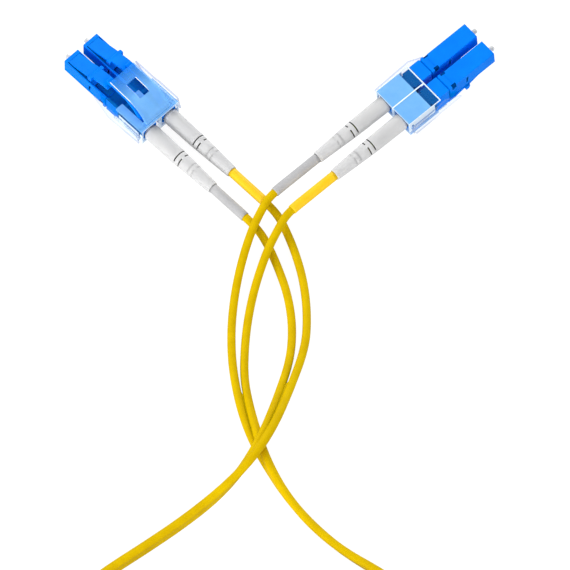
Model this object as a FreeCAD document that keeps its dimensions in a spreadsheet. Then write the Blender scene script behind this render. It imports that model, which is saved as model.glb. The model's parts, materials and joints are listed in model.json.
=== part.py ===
import FreeCAD, Part
import math
import os
import Sketcher

# A duplex fibre patch cord: two duplex LC plugs joined by one metre of twin cord.
# Millimetres, +Z up. The origin is on the resting surface under the middle of the two plugs.
# Each plug leg is drawn in its own frame: x runs rearward from the front face, y across, z up
# from the ferrule's axis. Each duplex clip is drawn with z up from the underside of the plug.

V = FreeCAD.Vector
doc = FreeCAD.newDocument("PatchCord")
sheet = doc.addObject("Spreadsheet::Sheet", "Dims")
_row = [0]


def put(name, value):
    _row[0] += 1
    sheet.set("A%d" % _row[0], name)
    sheet.set("B%d" % _row[0], repr(float(value)))
    sheet.setAlias("B%d" % _row[0], name)


def val(name):
    return float(sheet.get(name))


SIZES = {
    # plug
    "leg_pitch": 6.25,
    "axis_height": 2.36,
    "housing_width": 4.52,
    "lip_width": 4.72,
    "channel_width": 3.6,
    "arm_width": 3.5,
    "arm_slot_width": 3.96,
    "lug_width": 4.4,
    "tail_width": 3.0,
    "trigger_width": 1.44,
    "rear_width": 4.2,
    "trench_width": 3.3,
    "side_slot_width": 6.0,
    "notch_width": 1.4,
    "latch_knuckle": 0.40,
    "trigger_knuckle": 0.50,
    "lever_knuckle": 0.50,
    "knuckle_play": 0.04,
    "boot_slot_width": 6.0,
    # spring
    "spring_mean": 1.06,
    "spring_wire": 0.15,
    "spring_pitch": 0.9,
    "spring_length": 5.4,
    "spring_start": 5.45,
    # clip
    "clip_width": 12.1,
    "clip_height": 5.6,
    "slot_level": 4.9,
    "slot_depth": 3.0,
    "wing_thick": 0.45,
    "wing_offset": 6.875,
    "web_thick": 0.5,
    "web_level": 2.3,
    "end_web_height": 3.5,
    "end_web_level": 1.25,
    "lever_width": 7.8,
    "window_width": 3.1,
    "cradle_width": 8.6,
    "deep": 12.0,
    # cord
    "cord_radius": 1.0,
    # poses on the resting surface
    "left_yaw": -45.81,
    "left_east": -47.51,
    "left_north": 20.98,
    "left_rise": 0.0,
    "right_yaw": 220.87,
    "right_nose_up": 4.0,
    "right_east": 47.61,
    "right_north": 19.38,
    "right_rise": 11.80,
    # put-away coil of the twin cord
    "coil_east": -8.71,
    "coil_north": -153.52,
}

# Side profiles, x then z, and plan profiles, x then y. Every coordinate becomes a cell.
PROFILES = {
    # ring that the turns of the put-away cord fill, radius then height
    "coil_ring": [(22.0, 0.3), (22.3, 0), (27.9, 0), (28.2, 0.3), (28.2, 8.4), (27.9, 8.7), (22.3, 8.7), (22.0, 8.4)],
    # plug housing
    "housing_side": [(0, -2.26), (14.2, -2.26), (14.2, 2.26), (0, 2.26)],
    "lip_side": [(12.7, -2.36), (14.2, -2.36), (14.2, 2.26), (12.7, 2.26)],
    "housing_bore": [(-0.2, 0), (-0.2, 1.62), (2.6, 1.62), (2.6, 1.22), (3.3, 1.22), (3.3, 1.5), (9.7, 1.5), (9.7, 0)],
    "housing_channel": [(9.6, -1.78), (14.3, -1.78), (14.3, 2.6), (9.6, 2.6)],
    "arm_relief": [(1.3, 1.86), (9.7, 1.86), (9.7, 2.6), (1.3, 2.6)],
    "root_relief": [(0.93, 1.86), (1.9, 1.86), (1.9, 2.6), (0.93, 2.6)],
    "side_slot": [(8.15, -1.05), (8.75, -1.2), (9.05, 1.05), (8.45, 1.2)],
    "edge_notch": [(11.95, -2.6), (13.3, -2.6), (13.3, -0.8), (11.95, -0.8)],
    # latch arm
    "arm_front": [(1.0, 1.86), (1.7, 1.9), (3.0, 2.2), (7.9, 3.56), (8.6, 3.8), (8.6, 4.75), (7.9, 4.36), (3.0, 2.8), (1.0, 2.26)],
    "arm_lug": [(7.9, 3.5), (9.1, 3.7), (9.1, 5.05), (8.35, 5.05), (7.9, 4.5)],
    "arm_tail": [(8.6, 4.0), (12.1, 4.95), (13.9, 5.1), (14.15, 5.4), (14.0, 5.75), (12.1, 5.75), (8.8, 5.0), (8.6, 4.7)],
    # rear body
    "rear_block": [(14.2, -2.36), (17.4, -2.36), (17.4, -1.8), (19.6, -1.8), (19.6, 2.26), (14.2, 2.26)],
    "rear_end": [(19.5, -1.75), (27.0, -1.45), (27.0, 1.9), (23.2, 2.1), (19.5, 2.1)],
    "rear_nose": [(9.8, 0), (9.8, 1.7), (14.3, 1.7), (14.3, 0)],
    "rear_trench": [(14.1, 1.3), (18.6, 1.3), (18.6, 2.6), (14.1, 2.6)],
    "rear_post": [(26.9, 0), (26.9, 1.2), (31.5, 1.2), (31.5, 0)],
    "rear_bore": [(9.6, 0), (9.6, 1.36), (11.0, 1.36), (11.0, 0.55), (31.7, 0.55), (31.7, 0)],
    # trigger
    "trigger_side": [(24.28, 2.2), (22.0, 4.75), (19.3, 6.2), (14.6, 6.5), (13.9, 5.98), (12.9, 5.98), (12.8, 7.3), (13.15, 7.56), (19.5, 7.3), (22.6, 5.75), (25.12, 2.2)],
    # ferrule and what holds it
    "ferrule_half": [(-1.6, 0), (-1.6, 0.42), (-1.42, 0.6245), (3.3, 0.6245), (3.3, 0.45), (4.0, 0.45), (4.0, 0)],
    "flange_half": [(3.3, 0.45), (3.3, 1.38), (3.38, 1.44), (5.1, 1.44), (5.3, 1.3), (5.3, 0.8), (8.4, 0.8), (8.4, 0.47), (4.0, 0.47), (4.0, 0.45)],
    "buffer_half": [(4.0, 0), (4.0, 0.45), (31.0, 0.45), (31.0, 0)],
    # crimp ring, boot, marker sleeve, end of the cord's jacket
    "ring_half": [(27.3, 1.24), (27.3, 1.58), (31.9, 1.58), (32.5, 1.4), (36.0, 1.4), (36.0, 1.04), (31.8, 1.04), (31.8, 1.24)],
    "boot_half": [(27.0, 1.66), (27.0, 1.78), (27.42, 1.8), (27.46, 2.0), (27.7, 2.06), (37.0, 1.97), (43.0, 1.7), (48.3, 1.47), (48.6, 1.38), (48.6, 1.04), (36.4, 1.04), (36.4, 1.66)],
    "boot_slot_a": [(37.0, 0.45), (37.35, 0.45), (37.35, 2.6), (37.0, 2.6)],
    "boot_slot_b": [(38.35, 0.45), (38.7, 0.45), (38.7, 2.6), (38.35, 2.6)],
    "boot_slot_c": [(41.35, 0.45), (41.52, 0.45), (41.52, 2.6), (41.35, 2.6)],
    "boot_slot_d": [(42.65, 0.45), (42.82, 0.45), (42.82, 2.6), (42.65, 2.6)],
    "sleeve_half": [(48.6, 1.04), (48.6, 1.2), (59.45, 1.2), (59.6, 1.14), (59.6, 1.04)],
    "jacket_half": [(32.0, 0), (32.0, 1.0), (59.6, 1.0), (59.6, 0)],
    # duplex clip, z from the underside
    "clip_side": [(17.5, 0), (27.4, 0), (27.4, 5.6), (18.4, 5.6), (18.4, 0.5), (17.5, 0.5)],
    "clip_cavity": [(0.5, 0.5), (5.55, 0.5), (5.55, 5.1), (0.5, 5.1)],
    "clip_top_slot": [(17.0, 1.45), (25.5, 1.45), (25.5, 3.95), (17.0, 3.95)],
    "clip_rear_ramp": [(25.5, 5.4), (27.3, 5.4), (27.2, 5.85), (27.1, 5.95), (25.75, 5.95), (25.6, 5.8)],
    "wing_side": [(16.6, 0.2), (27.2, 1.2), (26.2, 5.0), (19.3, 4.8), (19.1, 4.5), (11.8, 4.4), (12.0, 3.9)],
    "web_plan": [(18.6, 5.9), (27.0, 5.9), (27.0, 6.7), (23.0, 6.7)],
    "end_web_plan": [(26.2, 5.9), (26.7, 5.9), (26.7, 6.7), (26.2, 6.7)],
    # lever of the clip, z from the underside
    "lever_side": [(25.98, 5.95), (24.95, 7.6), (23.1, 9.0), (20.7, 9.8), (14.3, 10.25), (14.15, 10.55), (14.3, 10.8), (20.9, 10.34), (23.5, 9.45), (25.5, 7.9), (26.82, 5.95)],
    "lever_window": [(17.3, 8.0), (22.1, 8.0), (22.1, 12.0), (17.3, 12.0)],
}
ROUND = {
    # centre x, z of the hinge knuckles
    "latch_pivot": (1.4, 1.86),
    "trigger_pivot": (24.7, 2.2),
    "lever_pivot": (26.4, 5.95),
}

# Corner points of each leg's route, from the end of its marker sleeve to the coil: x, y, z.
# The a legs and the b legs lie side by side as they leave the plugs, then join as one twin cord.
ROUTES = {
    "left_a": [(-8.21, -23.93, 2.36), (-5.42, -26.80, 2.36), (-2.84, -30.85, 1.50), (-0.30, -36.97, 1.00), (2.00, -44.39, 1.00), (3.10, -52.61, 1.00), (2.62, -61.39, 1.30), (0.03, -71.05, 2.60), (-3.04, -81.04, 4.85), (-6.06, -88.02, 5.00), (-10.09, -93.97, 3.30), (-15.57, -99.61, 1.60), (-22.94, -105.75, 1.00), (-31.25, -112.09, 1.00), (-40.99, -119.09, 1.00), (-49.61, -126.42, 1.00), (-52.71, -139.02, 1.00), (-49.31, -151.62, 1.00), (-41.31, -162.22, 1.00), (-29.41, -170.92, 1.00)],
    "left_b": [(-3.73, -19.58, 2.36), (-0.94, -22.45, 2.36), (1.34, -26.60, 1.50), (3.78, -32.93, 1.00), (5.76, -40.75, 1.00), (6.61, -49.64, 1.00), (6.14, -58.64, 1.20), (2.08, -71.70, 3.06), (-1.26, -81.72, 5.95), (-4.90, -88.72, 6.73), (-9.66, -94.35, 5.43), (-15.57, -99.61, 3.80), (-22.94, -105.75, 3.20), (-31.25, -112.09, 3.20), (-40.99, -119.09, 3.20), (-49.61, -126.42, 3.20), (-52.71, -139.02, 3.20), (-49.31, -151.62, 3.20), (-41.31, -162.22, 3.20), (-29.41, -170.92, 3.20)],
    "right_a": [(0.73, -17.05, 5.29), (-2.29, -19.66, 5.01), (-4.08, -22.95, 4.85), (-6.41, -28.07, 4.50), (-8.35, -34.06, 3.60), (-9.92, -40.31, 2.20), (-11.04, -47.32, 1.20), (-11.54, -55.57, 1.00), (-11.11, -64.47, 1.00), (-9.35, -74.29, 1.00), (-6.69, -82.78, 1.00), (-2.95, -90.29, 1.00), (1.75, -98.31, 1.00), (7.89, -106.11, 1.00), (15.32, -113.07, 1.00), (24.21, -119.20, 1.00), (32.69, -126.42, 1.00), (35.49, -139.02, 1.30), (31.89, -151.62, 2.70), (23.89, -162.22, 4.70), (11.99, -170.92, 5.40)],
    "right_b": [(4.82, -21.78, 5.29), (1.80, -24.39, 5.01), (0.01, -27.85, 4.80), (-2.46, -32.71, 4.10), (-4.60, -38.53, 2.90), (-6.41, -44.84, 1.60), (-7.69, -52.07, 1.00), (-8.31, -59.34, 1.00), (-8.40, -66.62, 1.00), (-7.26, -73.71, 1.38), (-5.22, -82.29, 2.56), (-2.78, -90.21, 3.19), (1.30, -98.60, 3.13), (7.28, -106.66, 3.04), (14.81, -113.72, 3.04), (23.98, -119.51, 3.17), (32.69, -126.42, 3.20), (35.49, -139.02, 3.50), (31.89, -151.62, 4.90), (23.89, -162.22, 6.90), (11.99, -170.92, 7.60)],
}

for key, number in SIZES.items():
    put(key, number)
for key, points in PROFILES.items():
    for i, (a, b) in enumerate(points):
        put("%s_a%d" % (key, i), a)
        put("%s_b%d" % (key, i), b)
for key, (a, b) in ROUND.items():
    put(key + "_a", a)
    put(key + "_b", b)
for key, points in ROUTES.items():
    for i, point in enumerate(points):
        for axis, number in zip(("east", "north", "up"), point):
            put("%s_%s%d" % (key, axis, i), number)
doc.recompute()


def plane(body, role):
    return [f for f in body.Origin.OriginFeatures if f.Role == role][0]


def new_sketch(body, name, role, offset=None, sign=1):
    sk = body.newObject("Sketcher::SketchObject", name)
    sk.AttachmentSupport = [(plane(body, role), "")]
    sk.MapMode = "FlatFace"
    if offset is not None:
        sk.AttachmentOffset = FreeCAD.Placement(V(0, 0, sign * val(offset)), FreeCAD.Rotation())
        sk.setExpression("AttachmentOffset.Base.z", ("-" if sign < 0 else "") + "Dims." + offset)
    return sk


def at(sk, geo, pos, key, i, flip=1):
    # ties one point of a sketch to its two cells
    for kind, axis, cell in (("DistanceX", -2, "%s_a%s"), ("DistanceY", -1, "%s_b%s")):
        name = cell % (key, i) if i is not None else (key + ("_a" if kind == "DistanceX" else "_b"))
        number = val(name) * (flip if kind == "DistanceY" else 1)
        if abs(number) < 1e-9:
            sk.addConstraint(Sketcher.Constraint("PointOnObject", geo, pos, axis))
        else:
            c = sk.addConstraint(Sketcher.Constraint(kind, geo, pos, number))
            minus = "-" if (flip < 0 and kind == "DistanceY") else ""
            sk.setExpression("Constraints[%d]" % c, minus + "Dims." + name)


def polygon(sk, key, flip=1):
    pts = PROFILES[key]
    n = len(pts)
    first = sk.GeometryCount
    for i in range(n):
        a, b = pts[i], pts[(i + 1) % n]
        sk.addGeometry(Part.LineSegment(V(a[0], flip * a[1], 0), V(b[0], flip * b[1], 0)), False)
    for i in range(n):
        sk.addConstraint(Sketcher.Constraint("Coincident", first + i, 2, first + (i + 1) % n, 1))
    for i in range(n):
        at(sk, first + i, 1, key, i, flip)


def swapped(sk, key, flip=1):
    # a profile whose first coordinate is across and second is up, mirrored across on request
    pts = PROFILES[key]
    n = len(pts)
    first = sk.GeometryCount
    for i in range(n):
        a, b = pts[i], pts[(i + 1) % n]
        sk.addGeometry(Part.LineSegment(V(flip * a[0], a[1], 0), V(flip * b[0], b[1], 0)), False)
    for i in range(n):
        sk.addConstraint(Sketcher.Constraint("Coincident", first + i, 2, first + (i + 1) % n, 1))
    for i in range(n):
        for kind, suffix, f in (("DistanceX", "_a%d", flip), ("DistanceY", "_b%d", 1)):
            c = sk.addConstraint(Sketcher.Constraint(kind, first + i, 1, f * val(key + suffix % i)))
            sk.setExpression("Constraints[%d]" % c, ("-" if f < 0 else "") + "Dims." + key + suffix % i)


def circle(sk, key, radius):
    g = sk.addGeometry(Part.Circle(V(val(key + "_a"), val(key + "_b"), 0), V(0, 0, 1), 0.4), False)
    at(sk, g, 3, key, None)
    c = sk.addConstraint(Sketcher.Constraint("Radius", g, 0.4))
    sk.setExpression("Constraints[%d]" % c, radius)


def grow(body, kind, sk, name, length=None, both=True, back=False):
    f = body.newObject("PartDesign::" + kind, name)
    f.Profile = sk
    if length is not None:
        f.setExpression("Length", "Dims." + length)
    if both:
        f.Midplane = True
    if back:
        f.Reversed = True
    doc.recompute()
    return f


def side_pad(body, name, key, width):
    sk = new_sketch(body, name + "_outline", "XZ_Plane")
    polygon(sk, key)
    return grow(body, "Pad", sk, name, width)


def side_cut(body, name, key, width):
    sk = new_sketch(body, name + "_outline", "XZ_Plane")
    polygon(sk, key)
    return grow(body, "Pocket", sk, name, width)


def knuckle(body, name, key, radius, width, cut=False):
    sk = new_sketch(body, name + "_outline", "XZ_Plane")
    circle(sk, key, "Dims." + radius + (" + Dims.knuckle_play" if cut else ""))
    return grow(body, "Pocket" if cut else "Pad", sk, name, width)


def turn(body, name, key, cut=False):
    sk = new_sketch(body, name + "_outline", "XZ_Plane")
    polygon(sk, key)
    f = body.newObject("PartDesign::" + ("Groove" if cut else "Revolution"), name)
    f.Profile = sk
    f.ReferenceAxis = (sk, ["H_Axis"])
    f.Angle = 360.0
    doc.recompute()
    return f


def soften(body, name, radius, test, chamfer=False):
    # rounds or bevels the edges that the test picks
    doc.recompute()
    tip = body.Tip
    names = ["Edge%d" % (i + 1) for i, e in enumerate(tip.Shape.Edges) if test(e)]
    if not names:
        raise RuntimeError("no edge to soften on " + body.Label + " " + name)
    f = body.newObject("PartDesign::" + ("Chamfer" if chamfer else "Fillet"), name)
    f.Base = (tip, names)
    if chamfer:
        f.Size = radius
    else:
        f.Radius = radius
    doc.recompute()
    return f


def straight_along(e, axis):
    if not isinstance(e.Curve, Part.Line):
        return False
    d = e.Vertexes[1].Point.sub(e.Vertexes[0].Point)
    k = {"x": (d.y, d.z), "y": (d.x, d.z), "z": (d.x, d.y)}[axis]
    return abs(k[0]) < 1e-6 and abs(k[1]) < 1e-6


def mid(e):
    return e.CenterOfMass


def new_body(label):
    b = doc.addObject("PartDesign::Body", label)
    b.Label = label
    return b


nodes = []


def keep(body, placement):
    body.Placement = placement
    nodes.append(body)


def plug_housing(label):
    b = new_body(label)
    side_pad(b, "block", "housing_side", "housing_width")
    soften(b, "corners", 0.22, lambda e: straight_along(e, "x") and abs(mid(e).z) > 2 and abs(mid(e).y) > 2)
    side_pad(b, "lip", "lip_side", "lip_width")
    soften(b, "seam", 0.3, lambda e: abs(mid(e).x - 14.2) < 1e-6 and (abs(mid(e).y) > 2.3 or mid(e).z < -2.3), chamfer=True)
    turn(b, "bore", "housing_bore", cut=True)
    side_cut(b, "channel", "housing_channel", "channel_width")
    side_cut(b, "arm_gap", "arm_relief", "arm_slot_width")
    side_cut(b, "root_gap", "root_relief", "arm_slot_width")
    knuckle(b, "hinge_seat", "latch_pivot", "latch_knuckle", "arm_slot_width", cut=True)
    side_cut(b, "side_slot", "side_slot", "side_slot_width")
    sk = new_sketch(b, "notches_outline", "XZ_Plane")
    polygon(sk, "edge_notch")
    before = b.Shape.Volume
    for side in (1, -1):
        s2 = new_sketch(b, "notch_outline_%s" % ("near" if side > 0 else "far"), "XZ_Plane", "notch_offset", side)
        polygon(s2, "edge_notch")
        grow(b, "Pocket", s2, "notch_%s" % ("near" if side > 0 else "far"), "notch_width")
    b.removeObject(sk)
    doc.removeObject(sk.Name)
    assert b.Shape.Volume < before - 0.05
    return b


def latch_arm(label):
    b = new_body(label)
    knuckle(b, "hinge", "latch_pivot", "latch_knuckle", "arm_width")
    side_pad(b, "arm", "arm_front", "arm_width")
    side_pad(b, "lugs", "arm_lug", "lug_width")
    side_pad(b, "tail", "arm_tail", "tail_width")
    return b


def rear_body(label):
    b = new_body(label)
    side_pad(b, "block", "rear_block", "lip_width")
    soften(b, "seam", 0.3, lambda e: abs(mid(e).x - 14.2) < 1e-6, chamfer=True)
    side_pad(b, "end", "rear_end", "rear_width")
    soften(b, "end_edges", 0.35, lambda e: isinstance(e.Curve, Part.Line) and mid(e).x > 20 and abs(abs(mid(e).y) - 2.1) < 1e-6
           and abs(e.Vertexes[0].Point.x - e.Vertexes[1].Point.x) > 1)
    turn(b, "nose", "rear_nose")
    side_cut(b, "trench", "rear_trench", "trench_width")
    turn(b, "post", "rear_post")
    turn(b, "bore", "rear_bore", cut=True)
    knuckle(b, "hinge_seat", "trigger_pivot", "trigger_knuckle", "deep", cut=True)
    return b


def trigger(label):
    b = new_body(label)
    knuckle(b, "hinge", "trigger_pivot", "trigger_knuckle", "trigger_width")
    side_pad(b, "blade", "trigger_side", "trigger_width")
    return b


def turned(label, key):
    b = new_body(label)
    turn(b, "turned", key)
    return b


def boot(label):
    b = new_body(label)
    turn(b, "sleeve", "boot_half")
    before = b.Shape.Volume
    for k, role in (("a", "XZ_Plane"), ("b", "XY_Plane"), ("c", "XZ_Plane"), ("d", "XY_Plane")):
        sk = new_sketch(b, "slot_%s_outline" % k, role)
        polygon(sk, "boot_slot_" + k)
        polygon(sk, "boot_slot_" + k, -1)
        grow(b, "Pocket", sk, "slot_" + k, "boot_slot_width")
    assert b.Shape.Volume < before - 2
    return b


def spring(label):
    b = new_body(label)
    h = b.newObject("PartDesign::AdditiveHelix", "coil")
    sk = new_sketch(b, "wire_outline", "XY_Plane")
    g = sk.addGeometry(Part.Circle(V(val("spring_start"), val("spring_mean"), 0), V(0, 0, 1), 0.15), False)
    for kind, cell in (("DistanceX", "spring_start"), ("DistanceY", "spring_mean")):
        c = sk.addConstraint(Sketcher.Constraint(kind, g, 3, val(cell)))
        sk.setExpression("Constraints[%d]" % c, "Dims." + cell)
    c = sk.addConstraint(Sketcher.Constraint("Radius", g, val("spring_wire")))
    sk.setExpression("Constraints[%d]" % c, "Dims.spring_wire")
    h.Profile = sk
    h.ReferenceAxis = (sk, ["H_Axis"])
    h.Mode = 0
    h.setExpression("Pitch", "Dims.spring_pitch")
    h.setExpression("Height", "Dims.spring_length")
    doc.recompute()
    return b


def duplex_clip(label):
    b = new_body(label)
    side_pad(b, "box", "clip_side", "clip_width")
    sk = new_sketch(b, "cavity_outline", "YZ_Plane")
    swapped(sk, "clip_cavity")
    swapped(sk, "clip_cavity", -1)
    f = b.newObject("PartDesign::Pocket", "cavity")
    f.Profile = sk
    f.Type = "ThroughAll"
    f.Midplane = True
    doc.recompute()
    sk = new_sketch(b, "top_slot_outline", "XY_Plane", "slot_level")
    polygon(sk, "clip_top_slot")
    polygon(sk, "clip_top_slot", -1)
    before = b.Shape.Volume
    grow(b, "Pocket", sk, "top_slot", "slot_depth", both=False, back=True)
    assert before - b.Shape.Volume > 15
    side_pad(b, "cradle", "clip_rear_ramp", "cradle_width")
    knuckle(b, "hinge_seat", "lever_pivot", "lever_knuckle", "deep", cut=True)
    for side in (1, -1):
        tag = "left" if side > 0 else "right"
        s = new_sketch(b, "wing_%s_outline" % tag, "XZ_Plane", "wing_offset", side)
        polygon(s, "wing_side")
        sk = new_sketch(b, "web_%s_outline" % tag, "XY_Plane", "web_level")
        polygon(sk, "web_plan", side)
        grow(b, "Pad", sk, "web_" + tag, "web_thick", both=False)
        sk = new_sketch(b, "end_web_%s_outline" % tag, "XY_Plane", "end_web_level")
        polygon(sk, "end_web_plan", side)
        grow(b, "Pad", sk, "end_web_" + tag, "end_web_height", both=False)
    for side in (1, -1):
        tag = "left" if side > 0 else "right"
        s = doc.getObject([o.Name for o in b.Group if o.Label.startswith("wing_%s_outline" % tag)][0])
        grow(b, "Pad", s, "wing_" + tag, "wing_thick")
    return b


def clip_lever(label):
    b = new_body(label)
    knuckle(b, "hinge", "lever_pivot", "lever_knuckle", "lever_width")
    side_pad(b, "plate", "lever_side", "lever_width")
    before = b.Shape.Volume
    side_cut(b, "window", "lever_window", "window_width")
    assert b.Shape.Volume < before - 2
    return b


def coil(label):
    b = new_body(label)
    sk = new_sketch(b, "ring_outline", "XZ_Plane")
    polygon(sk, "coil_ring")
    f = b.newObject("PartDesign::Revolution", "ring")
    f.Profile = sk
    f.ReferenceAxis = (sk, ["V_Axis"])
    f.Angle = 360.0
    doc.recompute()
    return b


def cord(label, key):
    # straight runs joined by tangent arcs, swept with the cord's round section
    pts = [V(*[val("%s_%s%d" % (key, axis, i)) for axis in ("east", "north", "up")]) for i in range(len(ROUTES[key]))]
    edges, here, radii = [], pts[0], []
    for p, q, r in zip(pts, pts[1:], pts[2:]):
        u, v = q.sub(p), r.sub(q)
        reach = 0.45 * min(u.Length, v.Length)
        turn = u.getAngle(v)
        radius = reach / math.tan(turn / 2)
        radii.append(radius)
        u.normalize()
        v.normalize()
        a, b = q.sub(V(u).multiply(reach)), q.add(V(v).multiply(reach))
        middle = V(v).sub(u)
        middle.normalize()
        m = q.add(middle.multiply(radius / math.cos(turn / 2) - radius))
        edges += [Part.LineSegment(here, a).toShape(), Part.Arc(a, m, b).toShape()]
        here = b
    edges.append(Part.LineSegment(here, pts[-1]).toShape())
    path = Part.Wire(edges)
    start = pts[1].sub(pts[0])
    section = Part.Wire([Part.Circle(pts[0], start, val("cord_radius")).toShape()])
    tube = path.makePipeShell([section], True, False)
    full = math.pi * val("cord_radius") ** 2 * path.Length
    print("%s length %.1f volume %.1f of %.1f radii %s" % (label, path.Length, tube.Volume, full, [round(r, 1) for r in radii]))
    if abs(tube.Volume / full - 1) > 0.01 or not tube.isValid():
        raise RuntimeError("bad tube " + label)
    f = doc.addObject("Part::Feature", label)
    f.Label = label
    f.Shape = tube
    return f


put("notch_offset", 2.36)
doc.recompute()

LEFT = FreeCAD.Placement(V(val("left_east"), val("left_north"), val("left_rise")),
                         FreeCAD.Rotation(val("left_yaw"), 0, 0))
RIGHT = FreeCAD.Placement(V(val("right_east"), val("right_north"), val("right_rise")),
                          FreeCAD.Rotation(val("right_yaw"), val("right_nose_up"), 180))
MIDDLE = V(0, 0, 0)

half = val("leg_pitch") / 2
for end, base, signs in (("left", LEFT, (-1, 1)), ("right", RIGHT, (1, -1))):
    for leg, sign in zip(("a", "b"), signs):
        tag = "%s_%s_" % (end, leg)
        place = base.multiply(FreeCAD.Placement(V(0, sign * half, val("axis_height")), FreeCAD.Rotation()))
        keep(plug_housing(tag + "plug_housing"), place)
        keep(latch_arm(tag + "latch_arm"), place)
        keep(rear_body(tag + "rear_body"), place)
        keep(trigger(tag + "trigger"), place)
        keep(turned(tag + "ferrule", "ferrule_half"), place)
        keep(turned(tag + "ferrule_flange", "flange_half"), place)
        keep(spring(tag + "spring"), place)
        keep(turned(tag + "fibre_buffer", "buffer_half"), place)
        keep(turned(tag + "crimp_ring", "ring_half"), place)
        keep(boot(tag + "boot"), place)
        keep(turned(tag + "marker_sleeve", "sleeve_half"), place)
        keep(turned(tag + "jacket_end", "jacket_half"), place)
    keep(duplex_clip(end + "_duplex_clip"), base)
    keep(clip_lever(end + "_clip_lever"), base)

for end in ("left", "right"):
    for leg in ("a", "b"):
        keep(cord("%s_%s_cord" % (end, leg), "%s_%s" % (end, leg)), FreeCAD.Placement())
keep(coil("cord_coil"), FreeCAD.Placement(V(val("coil_east"), val("coil_north"), 0), FreeCAD.Rotation()))

doc.recompute()
bad = [o.Name for o in doc.Objects if "Invalid" in o.State or "Error" in o.State]
if bad:
    raise RuntimeError("failed objects: %s" % bad)
for n in nodes:
    if n.Shape.isNull() or not n.Shape.isValid() or len(n.Shape.Solids) != 1:
        raise RuntimeError("bad shape: %s %s" % (n.Label, len(n.Shape.Solids)))
os.makedirs("parts", exist_ok=True)
for n in nodes:
    n.Shape.exportStep("parts/%s.step" % n.Label)
print(len(nodes), "nodes")
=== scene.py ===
import bpy, bmesh, json, math, random
from mathutils import Matrix, Vector

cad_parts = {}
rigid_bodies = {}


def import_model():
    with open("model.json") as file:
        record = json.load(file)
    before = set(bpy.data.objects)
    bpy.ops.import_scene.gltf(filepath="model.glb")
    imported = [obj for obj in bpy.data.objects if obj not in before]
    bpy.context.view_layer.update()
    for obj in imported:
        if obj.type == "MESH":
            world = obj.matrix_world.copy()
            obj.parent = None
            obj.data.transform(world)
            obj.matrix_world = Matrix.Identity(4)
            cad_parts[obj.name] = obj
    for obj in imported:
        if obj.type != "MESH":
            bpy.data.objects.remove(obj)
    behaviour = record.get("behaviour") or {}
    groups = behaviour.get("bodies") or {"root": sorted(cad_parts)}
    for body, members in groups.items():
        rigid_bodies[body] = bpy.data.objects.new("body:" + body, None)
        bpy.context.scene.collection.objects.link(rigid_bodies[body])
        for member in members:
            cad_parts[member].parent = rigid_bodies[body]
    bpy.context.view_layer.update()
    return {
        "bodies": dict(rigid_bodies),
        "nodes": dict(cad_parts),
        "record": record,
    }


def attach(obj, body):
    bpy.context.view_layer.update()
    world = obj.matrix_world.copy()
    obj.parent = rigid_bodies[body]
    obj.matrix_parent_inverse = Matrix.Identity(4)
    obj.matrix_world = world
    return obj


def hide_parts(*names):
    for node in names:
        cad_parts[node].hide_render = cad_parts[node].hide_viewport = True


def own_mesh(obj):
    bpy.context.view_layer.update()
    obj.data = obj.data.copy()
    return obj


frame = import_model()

NODES, BODIES = frame["nodes"], frame["bodies"]
scene = bpy.context.scene
ROOT = "cord_and_plugs"
MM = 0.001

# ---------------------------------------------------------------- frames of the plugs
# Leg frame: x rearward from the housing's front face, y across, z up from the ferrule's axis.


def turned(yaw, pitch, roll):
    r = math.radians
    return Matrix.Rotation(r(yaw), 4, "Z") @ Matrix.Rotation(r(pitch), 4, "Y") @ Matrix.Rotation(r(roll), 4, "X")


PLUGS = {
    "left": Matrix.Translation((-0.04751, 0.02098, 0.0)) @ turned(-45.81, 0, 0),
    "right": Matrix.Translation((0.04761, 0.01938, 0.01180)) @ turned(220.87, 4.0, 180),
}
LEGS = {
    "left_a": PLUGS["left"] @ Matrix.Translation((0, -0.003125, 0.00236)),
    "left_b": PLUGS["left"] @ Matrix.Translation((0, 0.003125, 0.00236)),
    "right_a": PLUGS["right"] @ Matrix.Translation((0, 0.003125, 0.00236)),
    "right_b": PLUGS["right"] @ Matrix.Translation((0, -0.003125, 0.00236)),
}

# ---------------------------------------------------------------- camera
cam = bpy.data.cameras.new("camera")
cam.type = "PERSP"
cam.lens = 1200.0
cam.sensor_width = 36.0
cam.clip_start, cam.clip_end = 0.5, 50.0
cam_ob = bpy.data.objects.new("camera", cam)
scene.collection.objects.link(cam_ob)
TARGET = Vector((0.00129, -0.04102, 0.0))
ELEVATION, DISTANCE = math.radians(61.8), 4.513
cam_ob.location = TARGET + DISTANCE * Vector((0, -math.cos(ELEVATION), math.sin(ELEVATION)))
cam_ob.rotation_euler = (math.pi / 2 - ELEVATION, 0, 0)
scene.camera = cam_ob

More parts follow.
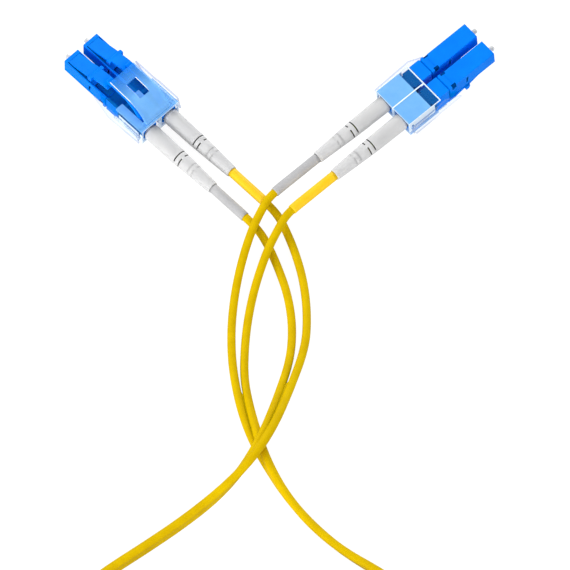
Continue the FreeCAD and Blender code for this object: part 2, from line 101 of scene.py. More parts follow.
# ---------------------------------------------------------------- routes of the cord, in metres
ROUTES = {
    "left_a": [(-0.00821, -0.02393, 0.00236), (-0.00542, -0.02680, 0.00236), (-0.00284, -0.03085, 0.00150), (-0.00030, -0.03697, 0.00100), (0.00200, -0.04439, 0.00100), (0.00310, -0.05261, 0.00100), (0.00262, -0.06139, 0.00130), (0.00003, -0.07105, 0.00260), (-0.00304, -0.08104, 0.00485), (-0.00606, -0.08802, 0.00500), (-0.01009, -0.09397, 0.00330), (-0.01557, -0.09961, 0.00160), (-0.02294, -0.10575, 0.00100), (-0.03125, -0.11209, 0.00100), (-0.04099, -0.11909, 0.00100), (-0.04961, -0.12642, 0.00100), (-0.05271, -0.13902, 0.00100), (-0.04931, -0.15162, 0.00100), (-0.04131, -0.16222, 0.00100), (-0.02941, -0.17092, 0.00100)],
    "left_b": [(-0.00373, -0.01958, 0.00236), (-0.00094, -0.02245, 0.00236), (0.00134, -0.02660, 0.00150), (0.00378, -0.03293, 0.00100), (0.00576, -0.04075, 0.00100), (0.00661, -0.04964, 0.00100), (0.00614, -0.05864, 0.00120), (0.00208, -0.07170, 0.00306), (-0.00126, -0.08172, 0.00595), (-0.00490, -0.08872, 0.00673), (-0.00966, -0.09435, 0.00543), (-0.01557, -0.09961, 0.00380), (-0.02294, -0.10575, 0.00320), (-0.03125, -0.11209, 0.00320), (-0.04099, -0.11909, 0.00320), (-0.04961, -0.12642, 0.00320), (-0.05271, -0.13902, 0.00320), (-0.04931, -0.15162, 0.00320), (-0.04131, -0.16222, 0.00320), (-0.02941, -0.17092, 0.00320)],
    "right_a": [(0.00073, -0.01705, 0.00529), (-0.00229, -0.01966, 0.00501), (-0.00408, -0.02295, 0.00485), (-0.00641, -0.02807, 0.00450), (-0.00835, -0.03406, 0.00360), (-0.00992, -0.04031, 0.00220), (-0.01104, -0.04732, 0.00120), (-0.01154, -0.05557, 0.00100), (-0.01111, -0.06447, 0.00100), (-0.00935, -0.07429, 0.00100), (-0.00669, -0.08278, 0.00100), (-0.00295, -0.09029, 0.00100), (0.00175, -0.09831, 0.00100), (0.00789, -0.10611, 0.00100), (0.01532, -0.11307, 0.00100), (0.02421, -0.11920, 0.00100), (0.03269, -0.12642, 0.00100), (0.03549, -0.13902, 0.00130), (0.03189, -0.15162, 0.00270), (0.02389, -0.16222, 0.00470), (0.01199, -0.17092, 0.00540)],
    "right_b": [(0.00482, -0.02178, 0.00529), (0.00180, -0.02439, 0.00501), (0.00001, -0.02785, 0.00480), (-0.00246, -0.03271, 0.00410), (-0.00460, -0.03853, 0.00290), (-0.00641, -0.04484, 0.00160), (-0.00769, -0.05207, 0.00100), (-0.00831, -0.05934, 0.00100), (-0.00840, -0.06662, 0.00100), (-0.00726, -0.07371, 0.00138), (-0.00522, -0.08229, 0.00256), (-0.00278, -0.09021, 0.00319), (0.00130, -0.09860, 0.00313), (0.00728, -0.10666, 0.00304), (0.01481, -0.11372, 0.00304), (0.02398, -0.11951, 0.00317), (0.03269, -0.12642, 0.00320), (0.03549, -0.13902, 0.00350), (0.03189, -0.15162, 0.00490), (0.02389, -0.16222, 0.00690), (0.01199, -0.17092, 0.00760)],
    "coil_a": [(-0.01953, -0.17807, 0.00100), (-0.00757, -0.18016, 0.00100), (0.00400, -0.17677, 0.00100), (0.01282, -0.16866, 0.00100), (0.01713, -0.15756, 0.00100), (0.01610, -0.14578, 0.00100), (0.01000, -0.13573, 0.00100), (0.00016, -0.12945, 0.00100), (-0.01137, -0.12818, 0.00100), (-0.02221, -0.13211, 0.00100), (-0.03013, -0.14036, 0.00100), (-0.03358, -0.15120, 0.00100), (-0.03188, -0.16236, 0.00100), (-0.02548, -0.17157, 0.00100), (-0.01573, -0.17696, 0.00100), (-0.00468, -0.17748, 0.00100), (0.00540, -0.17310, 0.00100), (0.01245, -0.16477, 0.00100), (0.01507, -0.15426, 0.00100), (0.01279, -0.14374, 0.00100), (0.00616, -0.13538, 0.00100), (-0.00343, -0.13084, 0.00100), (-0.01399, -0.13084, 0.00115), (-0.02358, -0.13538, 0.00214), (-0.03021, -0.14374, 0.00357), (-0.03249, -0.15426, 0.00484), (-0.02987, -0.16477, 0.00540), (-0.02282, -0.17310, 0.00540), (-0.01274, -0.17748, 0.00540), (-0.00169, -0.17696, 0.00540), (0.00806, -0.17157, 0.00540), (0.01446, -0.16236, 0.00540), (0.01616, -0.15120, 0.00540), (0.01271, -0.14036, 0.00540), (0.00479, -0.13211, 0.00540), (-0.00605, -0.12818, 0.00540), (-0.01758, -0.12945, 0.00540), (-0.02742, -0.13573, 0.00540), (-0.03352, -0.14578, 0.00540), (-0.03455, -0.15756, 0.00540), (-0.03024, -0.16866, 0.00540), (-0.02142, -0.17677, 0.00540), (-0.00985, -0.18016, 0.00540), (0.00211, -0.17807, 0.00540)],
    "coil_b": [(-0.01953, -0.17807, 0.00320), (-0.00757, -0.18016, 0.00320), (0.00400, -0.17677, 0.00320), (0.01282, -0.16866, 0.00320), (0.01713, -0.15756, 0.00320), (0.01610, -0.14578, 0.00320), (0.01000, -0.13573, 0.00320), (0.00016, -0.12945, 0.00320), (-0.01137, -0.12818, 0.00320), (-0.02221, -0.13211, 0.00320), (-0.03013, -0.14036, 0.00320), (-0.03358, -0.15120, 0.00320), (-0.03188, -0.16236, 0.00320), (-0.02548, -0.17157, 0.00320), (-0.01573, -0.17696, 0.00320), (-0.00468, -0.17748, 0.00320), (0.00540, -0.17310, 0.00320), (0.01245, -0.16477, 0.00320), (0.01507, -0.15426, 0.00320), (0.01279, -0.14374, 0.00320), (0.00616, -0.13538, 0.00320), (-0.00343, -0.13084, 0.00320), (-0.01399, -0.13084, 0.00335), (-0.02358, -0.13538, 0.00434), (-0.03021, -0.14374, 0.00577), (-0.03249, -0.15426, 0.00704), (-0.02987, -0.16477, 0.00760), (-0.02282, -0.17310, 0.00760), (-0.01274, -0.17748, 0.00760), (-0.00169, -0.17696, 0.00760), (0.00806, -0.17157, 0.00760), (0.01446, -0.16236, 0.00760), (0.01616, -0.15120, 0.00760), (0.01271, -0.14036, 0.00760), (0.00479, -0.13211, 0.00760), (-0.00605, -0.12818, 0.00760), (-0.01758, -0.12945, 0.00760), (-0.02742, -0.13573, 0.00760), (-0.03352, -0.14578, 0.00760), (-0.03455, -0.15756, 0.00760), (-0.03024, -0.16866, 0.00760), (-0.02142, -0.17677, 0.00760), (-0.00985, -0.18016, 0.00760), (0.00211, -0.17807, 0.00760)],
}
CORD_R = 0.001

# ---------------------------------------------------------------- material helpers


def srgb(r, g, b, a=1.0):
    def f(c):
        c /= 255.0
        return c / 12.92 if c <= 0.04045 else ((c + 0.055) / 1.055) ** 2.4
    return (f(r), f(g), f(b), a)


class Mat:
    """A node material under construction."""

    def __init__(self, name):
        self.m = bpy.data.materials.new(name)
        self.m.use_nodes = True
        self.t = self.m.node_tree
        self.t.nodes.clear()
        self.out = self.t.nodes.new("ShaderNodeOutputMaterial")

    def n(self, kind, **props):
        node = self.t.nodes.new(kind)
        for k, v in props.items():
            setattr(node, k, v)
        return node

    def link(self, a, b):
        self.t.links.new(a, b)

    def object_coordinates(self):
        return self.n("ShaderNodeTexCoord").outputs["Object"]

    def noise(self, vector, scale, detail=3.0, rough=0.55, distortion=0.0):
        n = self.n("ShaderNodeTexNoise")
        n.inputs["Scale"].default_value = scale
        n.inputs["Detail"].default_value = detail
        n.inputs["Roughness"].default_value = rough
        n.inputs["Distortion"].default_value = distortion
        self.link(vector, n.inputs["Vector"])
        return n.outputs["Fac"]

    def ramp(self, fac, stops):
        r = self.n("ShaderNodeValToRGB")
        e = r.color_ramp.elements
        while len(e) < len(stops):
            e.new(0.5)
        for el, (pos, col) in zip(e, stops):
            el.position = pos
            el.color = col
        self.link(fac, r.inputs["Fac"])
        return r.outputs["Color"]

    def mapped(self, fac, lo, hi, a=0.0, b=1.0):
        m = self.n("ShaderNodeMapRange")
        m.inputs["From Min"].default_value = a
        m.inputs["From Max"].default_value = b
        m.inputs["To Min"].default_value = lo
        m.inputs["To Max"].default_value = hi
        self.link(fac, m.inputs["Value"])
        return m.outputs["Result"]

    def mix(self, fac, a, b, blend="MIX"):
        m = self.n("ShaderNodeMix", data_type="RGBA", blend_type=blend)
        for sock, v in ((m.inputs[0], fac), (m.inputs[6], a), (m.inputs[7], b)):
            if isinstance(v, (float, int)):
                sock.default_value = v
            elif isinstance(v, tuple):
                sock.default_value = v
            else:
                self.link(v, sock)
        return m.outputs[2]

    def math(self, op, a, b=None, c=None, clamp=False):
        m = self.n("ShaderNodeMath", operation=op, use_clamp=clamp)
        for i, v in enumerate((a, b, c)):
            if v is None:
                continue
            if isinstance(v, (float, int)):
                m.inputs[i].default_value = v
            else:
                self.link(v, m.inputs[i])
        return m.outputs[0]

    def bump(self, height, strength, distance, normal=None):
        b = self.n("ShaderNodeBump")
        b.inputs["Strength"].default_value = strength
        b.inputs["Distance"].default_value = distance
        self.link(height, b.inputs["Height"])
        if normal is not None:
            self.link(normal, b.inputs["Normal"])
        return b.outputs["Normal"]

    def principled(self, color=None, rough=None, normal=None, **values):
        p = self.n("ShaderNodeBsdfPrincipled")
        for sock, v in (("Base Color", color), ("Roughness", rough), ("Normal", normal)):
            if v is None:
                continue
            if isinstance(v, (float, int, tuple)):
                p.inputs[sock].default_value = v
            else:
                self.link(v, p.inputs[sock])
        for k, v in values.items():
            p.inputs[k.replace("_", " ")].default_value = v
        self.link(p.outputs["BSDF"], self.out.inputs["Surface"])
        return p


def moulded(name, base, light, rough=(0.3, 0.42), grain=9000.0, strength=0.12, shade=None, shade_green=1.5, gloss=None, top_shade=None, **values):
    """Injection-moulded plastic: faint flow clouding, a fine spark-eroded grain and a slightly uneven sheen.
    shade = (reach in metres, how dark a closed-in corner gets): painted shade, the colour darkened by ambient
    occlusion in narrow gaps and corners; shade_green makes that painted shade greener.
    gloss = (level in a closed-in corner, level out in the open) of its reflection.
    top = how much of each colour the faces looking straight up keep: painted shade on the ledges that lie deep under
    the latch arm."""
    k = Mat(name)
    co = k.object_coordinates()
    cloud = k.noise(co, 220.0, 4.0, 0.6)
    col = k.mix(k.mapped(cloud, 0.0, 1.0, 0.35, 0.68), base, light)
    # painted shade: faces looking straight up keep only part of each colour
    if top_shade:
        split = k.n("ShaderNodeSeparateXYZ")
        k.link(k.n("ShaderNodeTexCoord").outputs["Normal"], split.inputs[0])
        col = k.mix(k.mapped(split.outputs[2], 0.0, 1.0, 0.75, 0.92), col, k.mix(1.0, col, (*top_shade, 1.0), "MULTIPLY"))
    # painted shade: ambient occlusion mixes the colour toward a darker, greener copy of the base in gaps and corners
    if shade:
        ao = k.n("ShaderNodeAmbientOcclusion", samples=8)
        ao.inputs["Distance"].default_value = shade[0]
        ao.only_local = len(shade) > 2
        dark = (base[0] * shade[1], base[1] * shade[1] * shade_green, base[2] * shade[1], 1.0)
        col = k.mix(k.mapped(ao.outputs["AO"], 0.0, 1.0, 0.12, 0.8), dark, col)
    fine = k.noise(co, grain, 2.0, 0.5)
    sheen = k.noise(co, 600.0, 3.0, 0.6)
    wave = k.noise(co, 320.0, 2.0, 0.5)
    nrm = k.bump(fine, strength, 0.00001)
    nrm = k.bump(wave, 0.25, 0.00002, nrm)
    p = k.principled(col, k.mapped(sheen, rough[0], rough[1]), nrm, **values)
    if shade and gloss:
        k.link(k.mapped(ao.outputs["AO"], gloss[0], gloss[1], 0.8, 0.98), p.inputs["Specular IOR Level"])
    return k.m


M = {}
# painted shade in all blue plastics: colour darkened by ambient occlusion in gaps and corners; the third also darkens
# its upward faces
M["blue"] = moulded("housing_blue", srgb(0, 118, 236), srgb(0, 127, 246), (0.42, 0.55), shade=(0.002, 0.42), shade_green=1.7, gloss=(0.0, 0.05))
M["blue_inside"] = moulded("housing_blue_inside", srgb(0, 120, 238), srgb(0, 129, 248), (0.42, 0.55), shade=(0.0012, 0.42), shade_green=1.3, gloss=(0.0, 0.05))
M["blue_shelf"] = moulded("housing_blue_shelf", srgb(0, 120, 238), srgb(0, 129, 248), (0.42, 0.55), shade=(0.0012, 0.42), shade_green=1.5, gloss=(0.0, 0.05), top_shade=(0.5, 0.70, 0.53))
# painted shade in the boots' slots, nearly black in the deepest
M["boot"] = moulded("boot_white", srgb(196, 196, 197), srgb(203, 203, 203), (0.5, 0.62), 7000.0, 0.08, Specular_IOR_Level=0.08, shade=(0.0006, 0.02), Subsurface_Weight=0.6, Subsurface_Radius=(1.0, 1.0, 1.0), Subsurface_Scale=0.0012)
M["grey"] = moulded("sleeve_grey", srgb(170, 170, 172), srgb(181, 181, 182), (0.45, 0.6), 8000.0, 0.08, Specular_IOR_Level=0.1)
M["sleeve"] = moulded("sleeve_yellow", srgb(234, 190, 20), srgb(242, 200, 32), (0.4, 0.55), 8000.0, 0.15, Specular_IOR_Level=0.2)
# painted shade where the cords lie close or cross
M["cord"] = moulded("cord_yellow", srgb(199, 165, 0), srgb(211, 178, 0), (0.45, 0.58), 8000.0, 0.15, Specular_IOR_Level=0.03, shade=(0.0012, 0.6))
M["ferrule"] = moulded("ferrule", srgb(212, 212, 207), srgb(224, 224, 219), (0.15, 0.25), 12000.0, 0.05, Coat_Weight=0.3)
M["metal"] = moulded("flange_metal", srgb(190, 190, 188), srgb(210, 210, 208), (0.25, 0.4), 6000.0, 0.15, Metallic=1.0)
M["spring"] = moulded("spring_steel", srgb(170, 170, 172), srgb(200, 200, 202), (0.22, 0.35), 6000.0, 0.15, Metallic=1.0)
M["buffer"] = moulded("buffer_white", srgb(232, 232, 226), srgb(242, 242, 238), (0.4, 0.5), 8000.0, 0.1)
M["crimp"] = moulded("crimp_metal", srgb(196, 188, 160), srgb(214, 206, 180), (0.25, 0.4), 6000.0, 0.15, Metallic=1.0)


def clear_plastic(name, side, lever=False):
    """Clear polycarbonate with a faint haze: see-through in its wings and polished bands, milky where it is frosted,
    brighter at grazing angles, with painted highlights in near-white on its rims and painted shade in grey-blue on the
    wings' outer edges. The zones are laid out in the plug's own frame, in millimetres."""
    k = Mat(name)
    co = k.object_coordinates()
    place = k.n("ShaderNodeMapping", vector_type="TEXTURE")
    place.inputs["Location"].default_value = PLUGS[side].to_translation()
    place.inputs["Rotation"].default_value = PLUGS[side].to_euler()
    place.inputs["Scale"].default_value = (0.001, 0.001, 0.001)
    k.link(co, place.inputs["Vector"])
    split = k.n("ShaderNodeSeparateXYZ")
    k.link(place.outputs[0], split.inputs[0])
    x, y, z = split.outputs
    haze = k.noise(co, 420.0, 3.0, 0.6)
    fog = k.noise(co, 160.0, 3.0, 0.6)
    nrm = k.bump(haze, 0.2, 0.00002)
    wide = k.math("ABSOLUTE", y)
    facing = k.n("ShaderNodeVectorMath", operation="DOT_PRODUCT")
    k.link(k.n("ShaderNodeNewGeometry").outputs["Normal"], facing.inputs[0])
    facing.inputs[1].default_value = PLUGS[side].to_3x3() @ Vector((0, 1, 0))
    across = k.math("ABSOLUTE", facing.outputs["Value"])

    def above(value, edge_at, soft=0.06):
        """0 below edge_at, 1 above it, over a soft step"""
        return k.mapped(value, 0.0, 1.0, edge_at - soft, edge_at + soft)

    def below(value, edge_at, soft=0.06):
        return k.mapped(value, 1.0, 0.0, edge_at - soft, edge_at + soft)

    def both_of(*parts):
        out = parts[0]
        for part in parts[1:]:
            out = k.math("MULTIPLY", out, part)
        return out

    def either_of(*parts):
        out = parts[0]
        for part in parts[1:]:
            out = k.math("MAXIMUM", out, part)
        return out

    if lever:
        # the side rims get a painted highlight, near-white towards the front; the plate is frosted, more so towards
        # its hinge
        rim_highlight = k.math("MULTIPLY", above(across, 0.6, 0.15), below(x, 21.8, 1.2))
        frost = k.mapped(x, 0.34, 0.54, 14.5, 21.5)
    else:
        inner = below(wide, 6.1)
        # painted highlight: near-white lines on the front frame, central ridge, side walls, corners and rear edge
        frame_front = both_of(below(x, 17.68, 0.04), inner)
        ridge = both_of(below(wide, 0.16, 0.04), below(z, 1.0))
        side_wall = both_of(above(wide, 5.93, 0.03), inner, above(x, 19.4), below(z, 4.0, 0.15))
        corner = both_of(above(wide, 5.92, 0.04), inner, below(z, 0.35))
        rear_rim = both_of(above(x, 27.3, 0.04), inner)
        rim_highlight = either_of(frame_front, ridge, side_wall, corner, k.math("MULTIPLY", rear_rim, 0.6))
        frost = k.math("MULTIPLY", both_of(either_of(both_of(above(x, 20.4), below(z, 0.7)), above(z, 5.05)), inner), 0.68)
    film = k.n("ShaderNodeBsdfPrincipled")
    if lever:
        # bluer where it is thin over the triggers, milkier over the box
        deep = k.mapped(x, 0.0, 1.0, 14.8, 21.0)
        tint = k.mix(haze, k.mix(deep, srgb(44, 150, 252), srgb(116, 192, 255)), k.mix(deep, srgb(64, 164, 255), srgb(144, 206, 255)))
    else:
        tint = k.mix(haze, srgb(110, 186, 255), srgb(138, 202, 255))
    # painted highlight: the rims' film turns near-white
    k.link(k.mix(rim_highlight, tint, (0.95, 0.98, 1.0, 1.0)), film.inputs["Base Color"])
    k.link(k.mapped(haze, 0.14, 0.26), film.inputs["Roughness"])
    film.inputs["Specular IOR Level"].default_value = 0.4
    k.link(nrm, film.inputs["Normal"])
    clear = k.n("ShaderNodeBsdfTransparent")
    clear.inputs["Color"].default_value = (0.9, 0.965, 1.0, 1.0) if lever else (0.985, 0.992, 1.0, 1.0)
    edge = k.n("ShaderNodeLayerWeight")
    edge.inputs["Blend"].default_value = 0.2
    if not lever:
        # the thin rims of the two guard wings: painted shade turns their outer edges grey-blue; the other rims keep
        # their painted highlight
        wing_edge_shade = both_of(above(wide, 6.35), below(across, 0.6, 0.15))
        film_color = k.mix(wing_edge_shade, k.mix(rim_highlight, tint, (0.86, 0.95, 1.0, 1.0)), srgb(160, 176, 212))
        k.link(film_color, film.inputs["Base Color"])
        # fainter where the near wing slopes away from the box
        sloping = k.math("MAXIMUM", k.mapped(x, 0.14, 0.42, 19.5, 22.5), k.math("MULTIPLY", above(y, 0.0), 0.55))
        rim_highlight = either_of(rim_highlight, k.math("MULTIPLY", wing_edge_shade, sloping))
    milky = k.math("MULTIPLY", either_of(frost, k.math("MULTIPLY", rim_highlight, 0.92)), k.mapped(fog, 0.88, 1.12))
    share = k.math("ADD", k.math("MULTIPLY", edge.outputs["Facing"], 0.12), k.math("ADD", milky, 0.015), clamp=True)
    both = k.n("ShaderNodeMixShader")
    k.link(share, both.inputs[0])
    k.link(clear.outputs[0], both.inputs[1])
    k.link(film.outputs[0], both.inputs[2])
    k.link(both.outputs[0], k.out.inputs["Surface"])
    return k.m


for side in ("left", "right"):
    M["clip_" + side] = clear_plastic("clip_clear_" + side, side)
    M["lever_" + side] = clear_plastic("lever_clear_" + side, side, True)

SLOTS = {
    "housing_blue": "blue", "clip_clear": "clip", "boot_white": "boot", "sleeve_grey": "grey", "sleeve_yellow": "sleeve",
    "cord_yellow": "cord", "ferrule": "ferrule", "flange_metal": "metal", "spring_steel": "spring", "buffer_white": "buffer",
    "crimp_metal": "crimp",
}
SLOT_OF = {s["node"]: s["material_slot"] for s in frame["record"]["subparts"]}
for name, ob in NODES.items():
    kind = SLOTS[SLOT_OF[name]]
    # the left rear bodies take the blue with painted shade on their upward faces
    if kind == "blue" and name.endswith(("rear_body", "trigger")):
        kind = "blue_shelf" if name.startswith("left") and name.endswith("rear_body") else "blue_inside"
    if kind == "clip":
        kind = ("lever_" if name.endswith("lever") else "clip_") + name.split("_")[0]
    ob.data.materials.clear()
    ob.data.materials.append(M[kind])

# ---------------------------------------------------------------- moulded edges
# Every moulded corner has a small radius: modifiers round the CAD parts' corners where they show.
EDGES = {"plug_housing": 0.09, "latch_arm": 0.07, "rear_body": 0.07, "trigger": 0.09, "boot": 0.03, "duplex_clip": 0.07, "clip_lever": 0.09}
for name, ob in NODES.items():
    for ending, radius in EDGES.items():
        if not name.endswith(ending):
            continue
        weld = ob.modifiers.new("weld", "WELD")
        weld.merge_threshold = 0.000002
        flat = ob.modifiers.new("flat", "DECIMATE")
        flat.decimate_type = "DISSOLVE"
        flat.angle_limit = math.radians(0.6)
        round_ = ob.modifiers.new("round", "BEVEL")
        round_.width = radius * MM
        round_.segments = 2
        round_.limit_method = "ANGLE"
        round_.angle_limit = math.radians(28)
        round_.use_clamp_overlap = True
        even = ob.modifiers.new("even", "WEIGHTED_NORMAL")
        even.keep_sharp = False

# ---------------------------------------------------------------- cords


def spline_object(name, points, bevel=0.0, material=None, resolution=14):
    cu = bpy.data.curves.new(name, "CURVE")
    cu.dimensions = "3D"
    cu.resolution_u = resolution
    s = cu.splines.new("NURBS")
    s.points.add(len(points) - 1)
    for p, q in zip(s.points, points):
        p.co = (q[0], q[1], q[2], 1.0)
    s.order_u = 3
    s.use_endpoint_u = True
    cu.bevel_depth = bevel
    cu.bevel_resolution = 8
    cu.use_fill_caps = False
    ob = bpy.data.objects.new(name, cu)
    scene.collection.objects.link(ob)
    if material:
        cu.materials.append(material)
    return ob


def followed(points, resolution=14):
    """The points along the smooth spline of a route, as Blender evaluates it."""
    ob = spline_object("line", points, 0.0, None, resolution)
    bpy.context.view_layer.update()
    dg = bpy.context.evaluated_depsgraph_get()
    me = bpy.data.meshes.new_from_object(ob.evaluated_get(dg))
    out = [v.co.copy() for v in me.vertices]
    cu = ob.data
    bpy.data.objects.remove(ob)
    bpy.data.curves.remove(cu)
    bpy.data.meshes.remove(me)
    return out


def joining_web(one, two, widest=0.00245):
    """The jacket of the twin cord wherever its two strands run side by side: a thin web between them where they part,
    nearly flush further on."""
    me = bpy.data.meshes.new("cord_web")
    bm = bmesh.new()
    last, creases = None, []
    half, skin = 24, CORD_R + 0.01 * MM
    for i in range(1, len(one) - 1):
        a, b = one[i], two[i]
        gap = b - a
        if gap.length > widest:
            if last:
                bm.faces.new(last)
            last = None
            continue
        along = ((one[i + 1] - one[i - 1]) + (two[i + 1] - two[i - 1])).normalized()
        across = (gap - gap.dot(along) * along).normalized()
        up = across.cross(along).normalized()
        full = min(max((-0.080 - (a.y + b.y) / 2) / 0.012, 0.0), 1.0)
        waist = math.asin(0.3 + 0.65 * full)
        sweep = 2 * (math.pi - waist)
        row = []
        for centre, start in ((b, -(math.pi - waist)), (a, waist)):
            for n in range(half):
                t = start + sweep * n / (half - 1)
                p = centre + skin * (math.cos(t) * across + math.sin(t) * up)
                p.z = max(p.z, 0.0)
                row.append(bm.verts.new(p))
        if last:
            for k in range(2 * half):
                j = (k + 1) % (2 * half)
                bm.faces.new((last[k], last[j], row[j], row[k]))
            if full < 0.9:
                creases += [(last[k], row[k]) for k in (0, half - 1, half, 2 * half - 1)]
        else:
            bm.faces.new(list(reversed(row)))
        last = row
    if last:
        bm.faces.new(last)
    for pair in creases:
        edge = bm.edges.get(pair)
        if edge:
            edge.smooth = False
    bmesh.ops.recalc_face_normals(bm, faces=bm.faces)
    for face in bm.faces:
        face.smooth = len(face.verts) == 4
    bm.to_mesh(me)
    bm.free()
    me.materials.append(M["cord"])
    ob = bpy.data.objects.new("cord_web", me)
    scene.collection.objects.link(ob)
    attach(ob, ROOT)
    return ob


PATH, CORDS, LINES = {}, {}, {}
for side in "ab":
    PATH[side] = ROUTES["left_" + side][:-1] + ROUTES["coil_" + side] + list(reversed(ROUTES["right_" + side][:-1]))
    ob = spline_object("cord_" + side, PATH[side], CORD_R, M["cord"])
    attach(ob, ROOT)
    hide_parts("left_%s_cord" % side, "right_%s_cord" % side, *(["cord_coil"] if side == "a" else []))
    CORDS[side] = ob
    LINES[side] = followed(PATH[side])
    more = {"with_pieces": [joining_web(LINES["a"], LINES["b"])]} if side == "b" else {}

# ---------------------------------------------------------------- small pieces around the cords


def tube_mesh(name, rings, material, sides=40):
    """A closed skin through rings of (centre, direction, radius); the first and last ring end it."""
    me = bpy.data.meshes.new(name)
    bm = bmesh.new()
    rows = []
    up = Vector((0, 0, 1))
    for centre, along, radius in rings:
        a = along.cross(up).normalized()
        b = a.cross(along).normalized()
        rows.append([bm.verts.new(centre + radius * (math.cos(t) * a + math.sin(t) * b))
                     for t in (2 * math.pi * i / sides for i in range(sides))])
    for r, q in zip(rows, rows[1:]):
        for i in range(sides):
            j = (i + 1) % sides
            bm.faces.new((r[i], r[j], q[j], q[i]))
    bmesh.ops.recalc_face_normals(bm, faces=bm.faces)
    bm.to_mesh(me)
    bm.free()
    for p in me.polygons:
        p.use_smooth = True
    me.materials.append(material)
    ob = bpy.data.objects.new(name, me)
    scene.collection.objects.link(ob)
    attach(ob, ROOT)
    return ob


def leg_point(leg, x):
    return LEGS[leg] @ Vector((x * MM, 0, 0))


SLEEVE_AT, SLEEVE_END = 48.6, 59.6
for leg in LEGS:
    along = (LEGS[leg].to_3x3() @ Vector((1, 0, 0))).normalized()
    # the boot's rear pair of slots is only a shallow groove: a flexible core fills most of it
    outer = lambda x: 1.97 + (x - 37.0) * (1.7 - 1.97) / 6.0
    core = [(leg_point(leg, x), along, (outer(x) - 0.035) * MM) for x in (40.9, 41.1, 42.0, 43.0, 43.2)]
    first = [(leg_point(leg, 40.9), along, 1.1 * MM)]
    last = [(leg_point(leg, 43.2), along, 1.1 * MM)]
    tube_mesh(leg + "_boot_core", first + core + last, M["boot"])

# the shrunk marker sleeves: a soft tube with rolled ends that bends with its cord
for leg in LEGS:
    side, extra = leg[-1], 2.6 if leg.startswith("right") else 0.0
    line = LINES[side] if leg.startswith("left") else list(reversed(LINES[side]))
    path = [leg_point(leg, SLEEVE_AT + i * (SLEEVE_END - SLEEVE_AT) / 12) for i in range(13)]
    run = 0.0
    for p, q in zip(line, line[1:]):
        run += (q - p).length
        if run > extra * MM:
            break
        if run > 0.15 * MM:
            path.append(q.copy())
    rings = []
    total = sum((q - p).length for p, q in zip(path, path[1:]))
    done = 0.0
    for i, p in enumerate(path):
        a, b = path[max(i - 1, 0)], path[min(i + 1, len(path) - 1)]
        rings.append((p, (b - a).normalized(), 1.2 * MM))
    p, d, r = rings[-1]
    rings[-1] = (p - d * 0.06 * MM, d, 1.19 * MM)
    rings += [(p - d * 0.02 * MM, d, 1.15 * MM), (p, d, 1.09 * MM), (p + d * 0.0 * MM, d, 1.01 * MM)]
    p, d, r = rings[0]
    rings = [(p, d, 1.05 * MM)] + rings
    grey = SLOTS[SLOT_OF[leg + "_marker_sleeve"]] == "grey"
    ob = tube_mesh(leg + "_shrunk_sleeve", rings, M["grey" if grey else "sleeve"])
    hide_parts(leg + "_marker_sleeve")

# dark blue blocks that close the floor of each edge notch in the housings: painted shadow
M["notch"] = moulded("notch_shadow_blue", srgb(0, 62, 128), srgb(0, 70, 140), (0.42, 0.55), Specular_IOR_Level=0.0)
for leg in LEGS:
    me = bpy.data.meshes.new(leg + "_notch_floors")
    bm = bmesh.new()
    for sign in (-1, 1):
        (x0, x1), (y0, y1), (z0, z1) = (11.9, 13.35), sorted((sign * 1.5, sign * 2.12)), (-2.2, -0.7)
        v = [bm.verts.new(LEGS[leg] @ (MM * Vector(c))) for c in
             ((x0, y0, z0), (x1, y0, z0), (x1, y1, z0), (x0, y1, z0), (x0, y0, z1), (x1, y0, z1), (x1, y1, z1), (x0, y1, z1))]
        for f in ((0, 3, 2, 1), (4, 5, 6, 7), (0, 1, 5, 4), (1, 2, 6, 5), (2, 3, 7, 6), (3, 0, 4, 7)):
            bm.faces.new([v[i] for i in f])
    bmesh.ops.recalc_face_normals(bm, faces=bm.faces)
    bm.to_mesh(me)
    bm.free()
    me.materials.append(M["notch"])
    ob = bpy.data.objects.new(leg + "_notch_floors", me)
    scene.collection.objects.link(ob)
    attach(ob, ROOT)

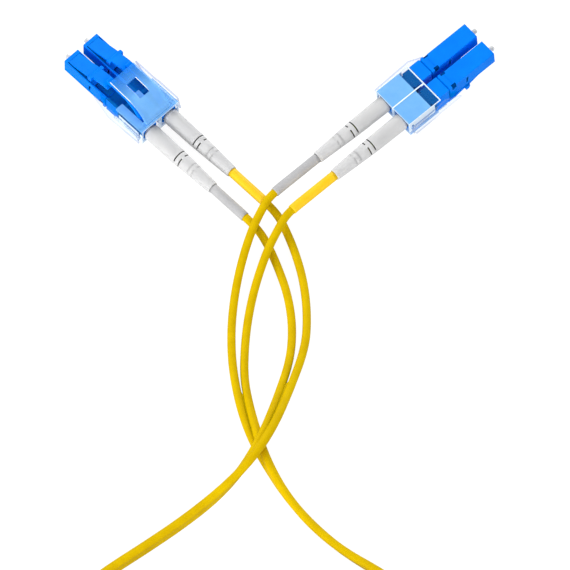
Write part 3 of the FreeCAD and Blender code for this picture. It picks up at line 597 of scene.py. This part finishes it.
# the ferrules' springs: a smooth-shaded copy of each CAD spring takes its place
for leg in LEGS:
    cad = NODES[leg + "_spring"]
    me = cad.data.copy()
    me.transform(cad.matrix_world)
    for polygon in me.polygons:
        polygon.use_smooth = True
    ob = bpy.data.objects.new(leg + "_live_spring", me)
    scene.collection.objects.link(ob)
    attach(ob, ROOT)
    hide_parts(leg + "_spring")
    along = (LEGS[leg].to_3x3() @ Vector((1, 0, 0))).normalized()
    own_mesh(ob)

# ---------------------------------------------------------------- floor and light
floor_me = bpy.data.meshes.new("floor")
w = 3.0
floor_me.from_pydata([(-w, -w, 0), (w, -w, 0), (w, w, 0), (-w, w, 0)], [], [(0, 1, 2, 3)])
floor = bpy.data.objects.new("floor", floor_me)
scene.collection.objects.link(floor)
k = Mat("floor_paper")
co = k.object_coordinates()
p = k.principled(k.mix(k.noise(co, 60.0, 3.0), (0.24, 0.24, 0.24, 1), (0.27, 0.27, 0.27, 1)), 0.9, k.bump(k.noise(co, 900.0, 3.0), 0.05, 0.0001), Specular_IOR_Level=0.0)
p.inputs["Emission Color"].default_value = (1, 1, 1, 1)
p.inputs["Emission Strength"].default_value = 0.86
floor_me.materials.append(k.m)
floor.visible_diffuse = False
floor.visible_glossy = False

world = bpy.data.worlds.new("studio")
scene.world = world
world.use_nodes = True
world.node_tree.nodes["Background"].inputs[0].default_value = (1, 1, 1, 1)
world.node_tree.nodes["Background"].inputs[1].default_value = 0.58


def lamp(name, at, size, power):
    li = bpy.data.lights.new(name, "AREA")
    li.shape = "RECTANGLE"
    li.size, li.size_y = size
    li.energy = power
    ob = bpy.data.objects.new(name, li)
    scene.collection.objects.link(ob)
    ob.location = at
    ob.rotation_euler = (TARGET - Vector(at)).to_track_quat("-Z", "Y").to_euler()
    return ob


lamp("low_left", (-0.66, -0.74, 0.2), (0.4, 0.3), 7.4)
lamp("low_right", (0.66, -0.74, 0.2), (0.4, 0.3), 2.6)
lamp("back_left", (-0.30, 0.26, 0.30), (0.2, 0.2), 0.6)
lamp("back", (0.12, 0.62, 0.24), (0.5, 0.2), 3.4)
li = lamp("over_cord", (0.0, -0.36, 0.26), (0.25, 0.12), 0.5)
li.rotation_euler = (Vector((0.0, -0.13, 0.0)) - li.location).to_track_quat("-Z", "Y").to_euler()
scene.view_settings.view_transform = "Standard"
scene.view_settings.look = "None"
